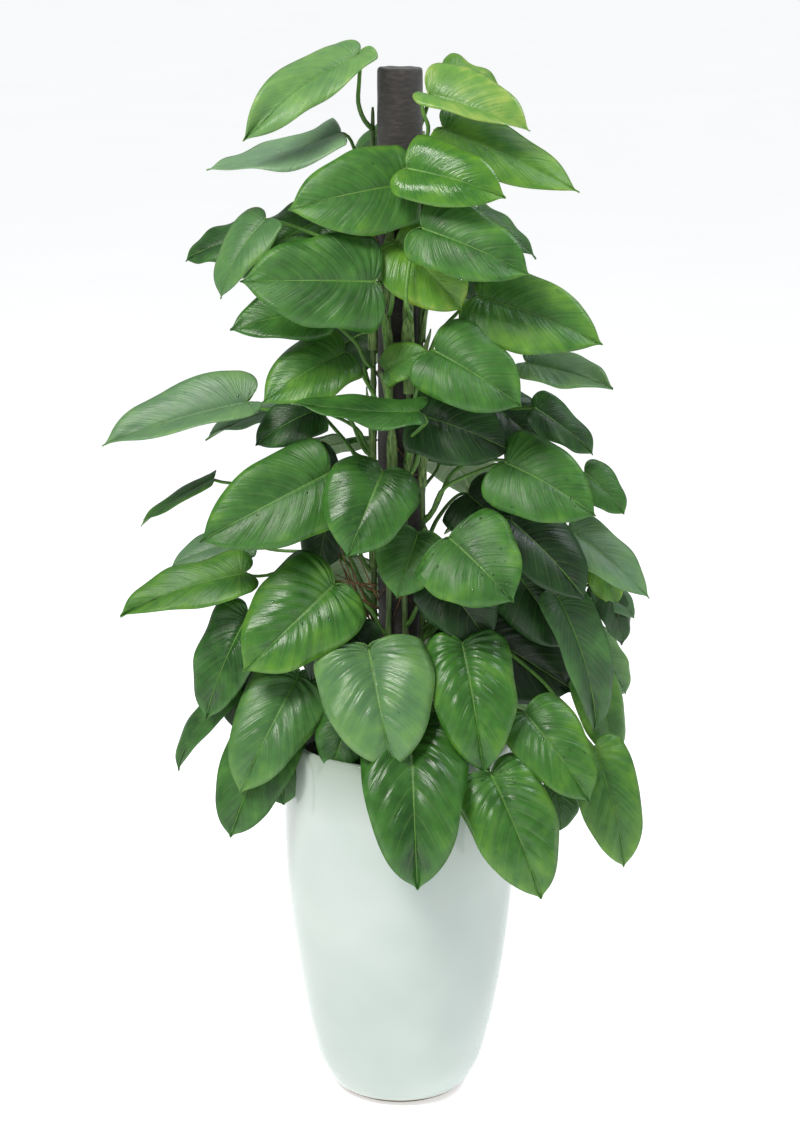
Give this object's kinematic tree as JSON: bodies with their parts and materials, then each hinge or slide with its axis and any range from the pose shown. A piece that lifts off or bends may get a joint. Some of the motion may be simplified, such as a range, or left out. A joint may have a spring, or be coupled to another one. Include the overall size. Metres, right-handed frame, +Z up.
{
  "type": "potted philodendron",
  "caption": "Climbing philodendron with heart-shaped leaves on a dark wrapped pole, in a tall pale glazed planter.",
  "frame": {"origin": "centre of the pot's foot, on the floor", "axes": "+Z up along the pole, -Y towards the side with most leaves, +X to the right seen from there"},
  "size_m": [0.796, 0.5091, 1.5654],
  "materials": {
    "glaze": "gloss",
    "soil": "matte",
    "wood_post": "matte",
    "coir_cloth": "matte",
    "stem": "satin",
    "leaf": "satin",
    "young_leaf": "gloss"
  },
  "bodies": {
    "root": {"pot": "glaze", "soil": "soil", "pole_core": "wood_post", "pole_wrap": "coir_cloth", "vine_left": "stem", "vine_frontLeft": "stem", "vine_front": "stem", "vine_right": "stem", "vine_back": "stem", "leaf_01": "leaf", "leaf_02": "leaf", "leaf_03": "leaf", "leaf_04": "leaf", "leaf_05": "young_leaf", "leaf_06": "leaf", "leaf_07": "leaf", "leaf_08": "young_leaf", "leaf_09": "leaf", "leaf_10": "young_leaf", "leaf_11": "leaf", "leaf_12": "leaf", "leaf_13": "leaf", "leaf_14": "leaf", "leaf_15": "leaf", "leaf_16": "leaf", "leaf_17": "leaf", "leaf_18": "leaf", "leaf_19": "leaf", "leaf_20": "leaf", "leaf_21": "leaf", "leaf_22": "leaf", "leaf_23": "leaf", "leaf_24": "leaf", "leaf_25": "leaf", "leaf_26": "leaf", "leaf_27": "leaf", "leaf_28": "leaf", "leaf_29": "leaf", "leaf_30": "leaf", "leaf_31": "leaf", "leaf_32": "leaf", "leaf_33": "leaf", "leaf_34": "leaf", "leaf_35": "leaf", "leaf_36": "leaf", "leaf_37": "leaf", "leaf_38": "leaf", "leaf_39": "leaf", "leaf_40": "leaf", "leaf_41": "leaf", "leaf_42": "leaf", "leaf_43": "leaf", "leaf_44": "leaf", "leaf_45": "leaf", "leaf_46": "leaf", "leaf_47": "leaf", "leaf_48": "leaf", "leaf_49": "leaf", "leaf_50": "leaf", "leaf_51": "leaf"}
  },
  "joints": []
}
